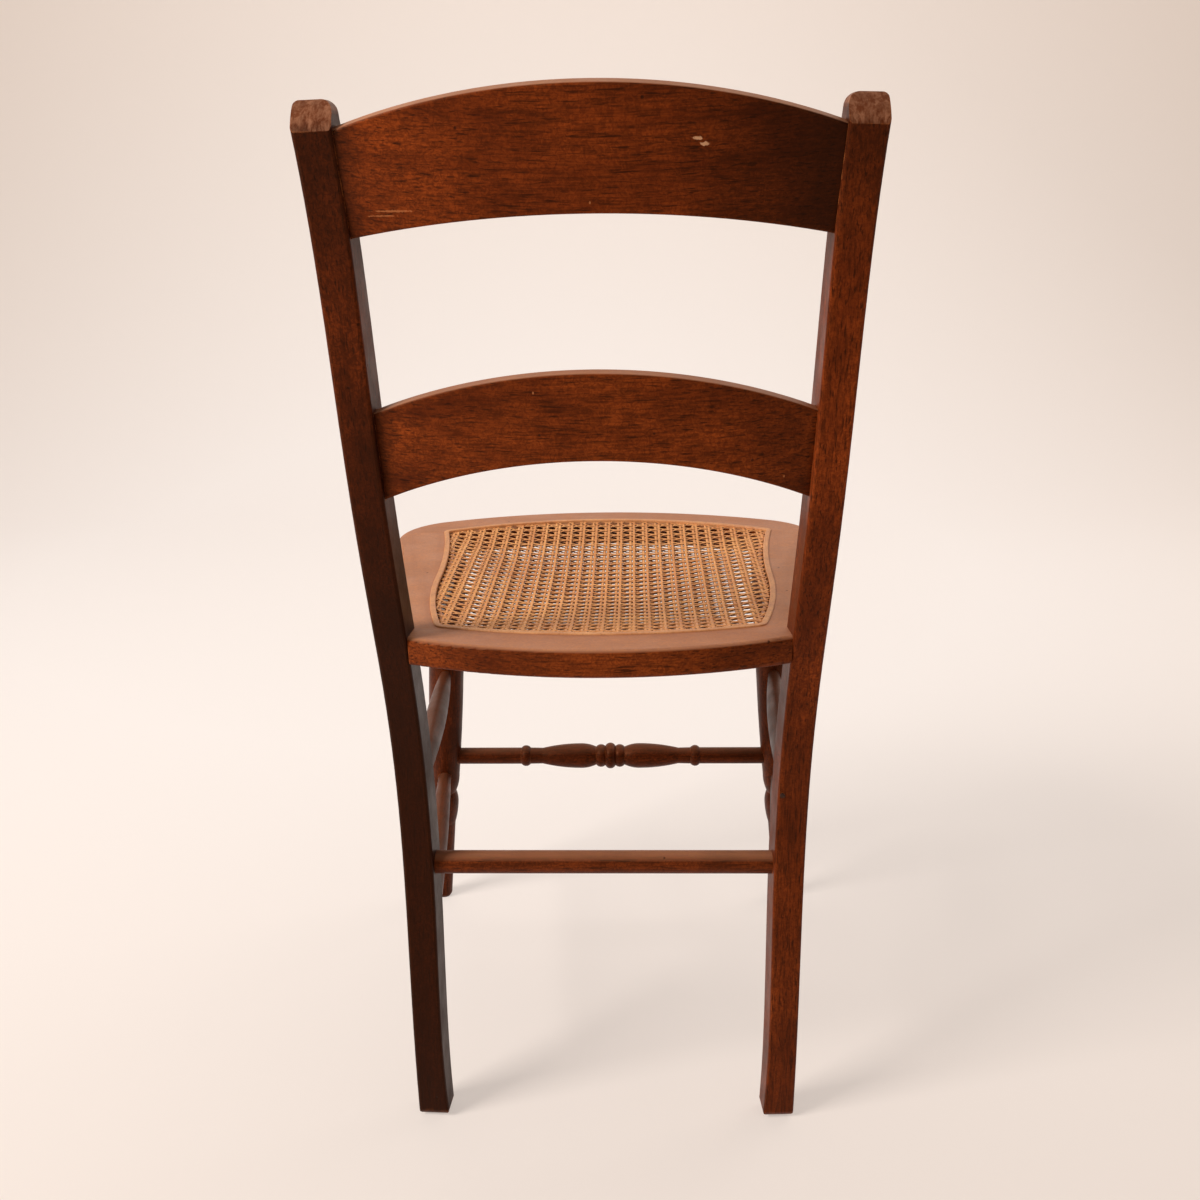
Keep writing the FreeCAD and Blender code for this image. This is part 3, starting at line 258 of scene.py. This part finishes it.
# The oval of painted shade over the cane's opening.
seat_shade_hollow = ((0.0, 0.035, 0.433), (0.200, 0.232, 0.2))
dress("seat_rear_rail", stained_wood("rear_rail_wood", "x", RAIL_DEEP, RAIL_WARM, 11.4, 0.95, 0.5))
dress("seat_front_rail", stained_wood("front_rail_wood", "x", RAIL_DEEP, RAIL_WARM,
                                      13.9, 0.95, 0.7, shade_hollow=seat_shade_hollow))
dress("seat_side_rail_left", stained_wood("left_rail_wood", "y", RAIL_DEEP, RAIL_WARM,
                                          15.2, 1.0, 1.0, -0.13, shade_hollow=seat_shade_hollow))
dress("seat_side_rail_right", stained_wood("right_rail_wood", "y", RAIL_DEEP, RAIL_WARM,
                                           17.8, 0.95, 1.0, 0.13, shade_hollow=seat_shade_hollow))
dress("seat_frame_dowels", stained_wood("dowel_wood", "y", tint(150, 104, 62), tint(190, 140, 92), 18.8,
                                        0.0, 0.0))

# Front legs and stretchers.
# Turned from the same wood and stained darker than the seat rails; the rear stretcher has a
# lighter stain of its own.
TURNED_DEEP, TURNED_WARM = tint(44, 14, 5), tint(112, 46, 16)
for number, (node, grain) in enumerate((
    ("front_leg_left", "z"), ("front_leg_right", "z"), ("front_stretcher", "x"),
    ("upper_side_stretcher_left", "y"), ("upper_side_stretcher_right", "y"),
    ("lower_side_stretcher_left", "y"), ("lower_side_stretcher_right", "y"),
)):
    seed = 21.0 + 2.7 * number
    dress(node, stained_wood(node + "_wood", grain, TURNED_DEEP, TURNED_WARM, seed, 0.15, 0.8))
dress("rear_stretcher", stained_wood("rear_stretcher_wood", "x", tint(60, 22, 8), tint(134, 60, 24), 44.0,
                                     0.6, 0.8))

# Brad.
# A small iron nail driven flush in the back of the right post, gone dull and dark with age.
iron = Finish("old_iron")
place = iron.add("ShaderNodeTexCoord").outputs["Object"]
rust = iron.noise(place, 900.0, 4.0, 0.7)
iron.feed(iron.shader.inputs["Base Color"],
          iron.over(iron.steps(rust, 0.4, 0.65), tint(30, 24, 22), tint(92, 52, 32)))
iron.feed(iron.shader.inputs["Metallic"], 0.6)
iron.feed(iron.shader.inputs["Roughness"], iron.steps(rust, 0.3, 0.7, 0.45, 0.75))
dress("stretcher_brad", iron)

# Cane.
# Six-way woven cane: pairs of split strands front to back and side to side, 12.7 mm apart, and
# single diagonals both ways round eight-sided holes. It is tan with age and sags in the middle.
# SINK is how far the strands' plane lies below the panel's top, and FURTHEST and FINE are the
# half length and the step of the places along a line at which the rim is looked for.
PITCH, SAG, SINK = 0.0127, 0.0145, 0.0014
FURTHEST, FINE, FEWEST = 0.27, 0.0005, 12
RIM_TURN, RIM_SLACK, RIM_SHARE = 0.06, 0.0011, 0.997
panel = np.array([corner.co[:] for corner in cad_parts["cane_panel"].data.vertices])
middle, cane_top = (panel.min(0) + panel.max(0)) / 2, panel[:, 2].max()
wall = panel[panel[:, 2] < panel[:, 2].min() + 0.0002][:, :2] - middle[:2]
wall_angle, wall_radius = np.arctan2(wall[:, 1], wall[:, 0]), np.hypot(wall[:, 0], wall[:, 1])
near = np.abs(wall_angle[:, None] - wall_angle[None, :]) < RIM_TURN
outer = wall_radius > np.where(near, wall_radius[None, :], 0).max(1) - RIM_SLACK
order = np.argsort(wall_angle[outer])
rim_angle, rim_radius = wall_angle[outer][order], wall_radius[outer][order]


def reach(x, y):
    """How far out a place is: its distance from the panel's middle over the rim's distance there."""
    rim = np.interp(np.arctan2(y - middle[1], x - middle[0]), rim_angle, rim_radius, period=2 * math.pi)
    return np.hypot(x - middle[0], y - middle[1]) / rim


def strands(name, starts, way, over, half, thick, wave, period, phase, drop):
    """
    Split cane strands along straight lines, each a six-cornered section carried along its line.
    At the distance d along a line, the height is the panel's top less SINK, less the drop times
    (1 - reach ** 2) ** 1.2, plus or minus wave * clip(1.6 sin(2 pi d / period + phase), -1, 1).
    """
    starts, over = np.array(starts), np.array(over, dtype=float)
    fine = np.arange(-FURTHEST, FURTHEST, FINE)
    inside = reach(starts[:, :1] + way[0] * fine, starts[:, 1:] + way[1] * fine) < RIM_SHARE
    kept = inside.sum(1) > FEWEST
    starts, over, inside = starts[kept], over[kept], inside[kept]
    first = fine[inside.argmax(1)][:, None]
    last = fine[len(fine) - 1 - inside[:, ::-1].argmax(1)][:, None]
    count = int(FURTHEST / (period / 4))
    d = np.clip(np.arange(-count, count + 1)[None, :] * period / 4, first, last)
    x, y = starts[:, :1] + way[0] * d, starts[:, 1:] + way[1] * d
    share = np.clip(reach(x, y), 0, 1)
    z = cane_top - SINK - drop * (1 - share ** 2) ** 1.2
    z = z + over[:, None] * wave * np.clip(1.6 * np.sin(2 * math.pi * d / period + phase), -1, 1)
    u = np.array([-1.0, -0.55, 0.55, 1.0, 0.6, -0.6]) * half
    v = np.array([-0.2, 0.42, 0.42, -0.2, -0.5, -0.5]) * thick
    corners = np.stack([x[..., None] - way[1] * u, y[..., None] + way[0] * u, z[..., None] + v], -1)
    lines, stations = d.shape
    ring = (np.arange(lines)[:, None] * stations + np.arange(stations)) * 6
    side = np.arange(6)
    turned = (side + 1) % 6
    live = d[:, 1:] - d[:, :-1] > 1e-7
    here, ahead = ring[:, :-1][live][:, None], ring[:, 1:][live][:, None]
    quads = np.stack([here + side, ahead + side, ahead + turned, here + turned], -1).reshape(-1, 4)
    strand = np.repeat(np.nonzero(live)[0], 6)
    heads = ring[np.arange(lines), live.argmax(1)][:, None] + side
    tails = ring[np.arange(lines), stations - 1 - live[:, ::-1].argmax(1)][:, None] + side[::-1]
    corner_list = np.concatenate([quads.ravel(), heads.ravel(), tails.ravel()])
    used, index = np.unique(corner_list, return_inverse=True)
    quads = index[:quads.size].reshape(-1, 4)
    ends = index[quads.size:].reshape(-1, 6)
    mesh = bpy.data.meshes.new(name)
    mesh.from_pydata(corners.reshape(-1, 3)[used].tolist(), [], quads.tolist() + ends.tolist())
    mesh.polygons.foreach_set("use_smooth", [True] * len(mesh.polygons))
    tone = np.random.default_rng(lines).random(lines)
    mesh.attributes.new("tone", "FLOAT", "FACE").data.foreach_set(
        "value", np.concatenate([tone[strand], tone, tone]))
    mesh.update()
    piece = bpy.data.objects.new(name, mesh)
    bpy.context.collection.objects.link(piece)
    return piece


def cane_skin(name, grain, turn=0.0):
    """Split cane: a glossy tan skin with fine lines along it, each strand of its own tone."""
    g = Finish(name)
    where = g.add("ShaderNodeTexCoord").outputs["Object"]
    tone = g.add("ShaderNodeAttribute", attribute_name="tone").outputs["Fac"]
    patches = g.noise(where, 22.0, 4.0, 0.65)
    draw = {"x": (0.06, 1.0, 1.0), "y": (1.0, 0.06, 1.0)}[grain]
    fibres = g.noise(g.drawn(where, draw, (0.0, 0.0, turn)), 1500.0, 2.0, 0.6)
    mix = g.math("ADD", g.math("MULTIPLY", tone, 0.4), g.math("MULTIPLY", patches, 0.8))
    base = g.over(g.steps(mix, 0.2, 0.95), tint(212, 132, 70), tint(252, 182, 112))
    base = g.over(g.steps(fibres, 0.4, 0.75, 0.0, 0.35), base, tint(140, 80, 42))
    stain = g.noise(where, 60.0, 5.0, 0.7)
    base = g.over(g.steps(stain, 0.6, 0.75, 0.0, 0.4), base, tint(116, 64, 34))
    face = g.add("ShaderNodeNewGeometry").outputs["Normal"]
    upward = g.add("ShaderNodeSeparateXYZ", {0: face}).outputs["Z"]
    # Painted shade: the sides and undersides of the strands are painted darker.
    base = g.over(g.steps(upward, 0.80, 0.15), base, tint(84, 36, 14))
    g.feed(g.shader.inputs["Base Color"], base)
    g.feed(g.shader.inputs["Roughness"], g.steps(patches, 0.3, 0.7, 0.34, 0.55))
    g.feed(g.shader.inputs["Specular IOR Level"], 0.4)
    bump = g.add("ShaderNodeBump", {"Height": fibres, "Strength": 0.3, "Distance": 0.0002})
    g.feed(g.shader.inputs["Normal"], bump.outputs[0])
    return g


slant = math.sqrt(0.5)
columns, rows, crossings = np.arange(-14, 15), np.arange(-16, 17), np.arange(-30, 30) + 0.5
pairs = np.array([-1, 1])
column_x = (middle[0] + columns[:, None] * PITCH + pairs * 0.0018).ravel()
row_y = (middle[1] + rows[:, None] * PITCH + pairs * 0.0016).ravel()
cross_x = middle[0] + crossings * PITCH
# Each family: its name, where its lines start, their way, which side each starts on, half its
# width, its thickness, its wave with the wave's period and phase, its drop in the middle, and
# the axis and turn of its fibres. The diagonals hang a little lower than the pairs.
LOWER = SAG + 0.0026
families = (
    ("cane_front_back", [(x, middle[1]) for x in column_x], (0.0, 1.0), np.tile(-pairs, len(columns)),
     0.00148, 0.0012, 0.00045, PITCH, 0.0, SAG, "y", 0.0),
    ("cane_side_side", [(middle[0], y) for y in row_y], (1.0, 0.0), np.tile(pairs, len(rows)),
     0.00135, 0.0012, 0.00045, PITCH, 0.0, SAG, "x", 0.0),
    ("cane_diagonal_right", [(x, middle[1]) for x in cross_x], (slant, slant), np.ones(len(crossings)),
     0.00110, 0.0010, 0.0008, PITCH / slant, math.pi / 2, LOWER, "y", math.pi / 4),
    ("cane_diagonal_left", [(x, middle[1]) for x in cross_x], (-slant, slant), -np.ones(len(crossings)),
     0.00110, 0.0010, 0.0008, PITCH / slant, math.pi / 2, LOWER, "y", -math.pi / 4),
)
for name, starts, way, over, half, thick, wave, period, phase, drop, grain, turn in families:
    piece = strands(name, starts, way, over, half, thick, wave, period, phase, drop)
    piece.data.materials.append(cane_skin(name + "_skin", grain, turn).material)
    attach(piece, "root")
    if name == "cane_front_back":
        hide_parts("cane_panel")

# Cane spline.
# A thin reed driven into the groove over the cane's turned-down edge. It has the cane's tan
# colour in paler and darker patches with fine dark flecks, and runs round the opening in one length.
reed = Finish("spline_reed")
place = reed.add("ShaderNodeTexCoord").outputs["Object"]
band = reed.noise(place, 40.0, 4.0, 0.65)
flecks = reed.noise(place, 420.0, 3.0, 0.7)
reed_base = reed.over(reed.steps(band, 0.3, 0.7), tint(196, 126, 76), tint(228, 164, 108))
reed_base = reed.over(reed.steps(flecks, 0.5, 0.75, 0.0, 0.5), reed_base, tint(130, 76, 42))
reed.feed(reed.shader.inputs["Base Color"], reed_base)
reed.feed(reed.shader.inputs["Roughness"], reed.steps(band, 0.3, 0.7, 0.38, 0.55))
reed_bump = reed.add("ShaderNodeBump", {"Height": flecks, "Strength": 0.25, "Distance": 0.0003})
reed.feed(reed.shader.inputs["Normal"], reed_bump.outputs[0])
dress("cane_spline", reed)

# Stage.
# One seamless pale paper is floor and backdrop together, a warm off-white. Painted light makes
# it lightest behind the chair and a little darker and pinker towards its corners, and half its
# colour glows as painted light to the camera and in reflections.
BACK, TURN, FRONT, WIDE, TALL = 3.4, 1.5, -3.6, 5.0, 4.5
bend = np.linspace(0, math.pi / 2, 33)
run_y = np.concatenate([[FRONT], BACK - TURN + TURN * np.sin(bend), [BACK]])
run_z = np.concatenate([[0.0], TURN - TURN * np.cos(bend), [TALL]])
across = np.linspace(-WIDE, WIDE, 2)
paper_corners = np.stack([np.tile(across, len(run_y)), np.repeat(run_y, 2), np.repeat(run_z, 2)], -1)
lower = np.arange(len(run_y) - 1) * 2
paper_faces = np.stack([lower, lower + 1, lower + 3, lower + 2], -1)
sweep_mesh = bpy.data.meshes.new("sweep")
sweep_mesh.from_pydata(paper_corners.tolist(), [], paper_faces.tolist())
sweep_mesh.polygons.foreach_set("use_smooth", [True] * len(sweep_mesh.polygons))
sweep = bpy.data.objects.new("sweep", sweep_mesh)
bpy.context.collection.objects.link(sweep)
paper = Finish("warm_paper")
ground = paper.add("ShaderNodeTexCoord").outputs["Object"]
# Painted light: the centre of the falloff, where the paper is lightest.
LIGHTEST = (-0.25, 1.6, 0.2)
from_middle = paper.add("ShaderNodeVectorMath", {0: ground, 1: LIGHTEST}, operation="DISTANCE")
painted_falloff = paper.steps(from_middle.outputs["Value"], 1.0, 3.0)
paper_with_painted_falloff = paper.over(painted_falloff, tint(252, 243, 237), tint(236, 219, 206))
paper.feed(paper.shader.inputs["Base Color"], paper_with_painted_falloff)
paper.feed(paper.shader.inputs["Roughness"], 0.9)
paper.feed(paper.shader.inputs["Specular IOR Level"], 0.1)
# Painted light: the paper glows with its own colour for camera, glossy and transmission rays.
glow = paper.add("ShaderNodeEmission", {"Color": paper_with_painted_falloff, "Strength": 1.0})
rays = paper.add("ShaderNodeLightPath")
seen = paper.math("MAXIMUM", rays.outputs["Is Camera Ray"], rays.outputs["Is Transmission Ray"])
seen = paper.math("MAXIMUM", seen, rays.outputs["Is Glossy Ray"])
OWN_LIGHT = 0.5
lit = paper.add("ShaderNodeMixShader", {
    0: paper.math("MULTIPLY", seen, OWN_LIGHT), 1: paper.shader.outputs[0], 2: glow.outputs[0]})
paper.feed(paper.tree.nodes["Material Output"].inputs["Surface"], lit.outputs[0])
sweep.data.materials.append(paper.material)

# Light.
# A soft key stands high on the left behind the chair's back, a second light falls on the
# backdrop only, a weak fill comes from the right front, and the surround is pale.


def soft_light(name, place, target, size, power, colour):
    """A square soft light aimed at a point."""
    lamp = bpy.data.lights.new(name, "AREA")
    lamp.shape, lamp.size = "SQUARE", size
    lamp.energy, lamp.color = power, colour
    item = bpy.data.objects.new(name, lamp)
    item.location = place
    item.rotation_euler = (Vector(target) - Vector(place)).to_track_quat("-Z", "Y").to_euler()
    bpy.context.collection.objects.link(item)


soft_light("key", (-2.15, -1.15, 2.0), (0.0, -0.1, 0.45), 1.1, 74.0, (1.0, 0.96, 0.92))
soft_light("backdrop", (0.0, 1.3, 2.6), (0.0, 3.3, 0.8), 2.0, 24.0, (1.0, 0.97, 0.94))
soft_light("fill", (1.9, 1.5, 1.9), (0.0, 0.0, 0.5), 1.4, 12.0, (1.0, 0.97, 0.94))
world = bpy.data.worlds.new("surround")
world.use_nodes = True
world.node_tree.nodes["Background"].inputs["Color"].default_value = tint(255, 246, 238)
world.node_tree.nodes["Background"].inputs["Strength"].default_value = 0.34
bpy.context.scene.world = world

# Camera.
# It stands behind the chair, a little right of centre, and looks down on the seat. The angles
# are in radians, and the focal length is in pixels of a picture 1200 pixels wide.
EYE = Vector((0.02832, -1.12390, 0.78828))
YAW, PITCHED, ROLL, FOCAL, PICTURE, SENSOR = 0.02813, 0.31144, -0.013515, 1326.17, 1200, 36.0
forward = Vector((-math.sin(YAW) * math.cos(PITCHED), math.cos(YAW) * math.cos(PITCHED), -math.sin(PITCHED)))
level = Vector((math.cos(YAW), math.sin(YAW), 0.0))
upward = level.cross(forward)
right = math.cos(ROLL) * level + math.sin(ROLL) * upward
above = -math.sin(ROLL) * level + math.cos(ROLL) * upward
lens = bpy.data.cameras.new("camera")
lens.sensor_width = SENSOR
lens.lens = SENSOR * FOCAL / PICTURE
camera = bpy.data.objects.new("camera", lens)
camera.matrix_world = Matrix.Translation(EYE) @ Matrix((right, above, -forward)).transposed().to_4x4()
bpy.context.collection.objects.link(camera)
scene = bpy.context.scene
scene.camera = camera
scene.view_settings.view_transform = "Standard"
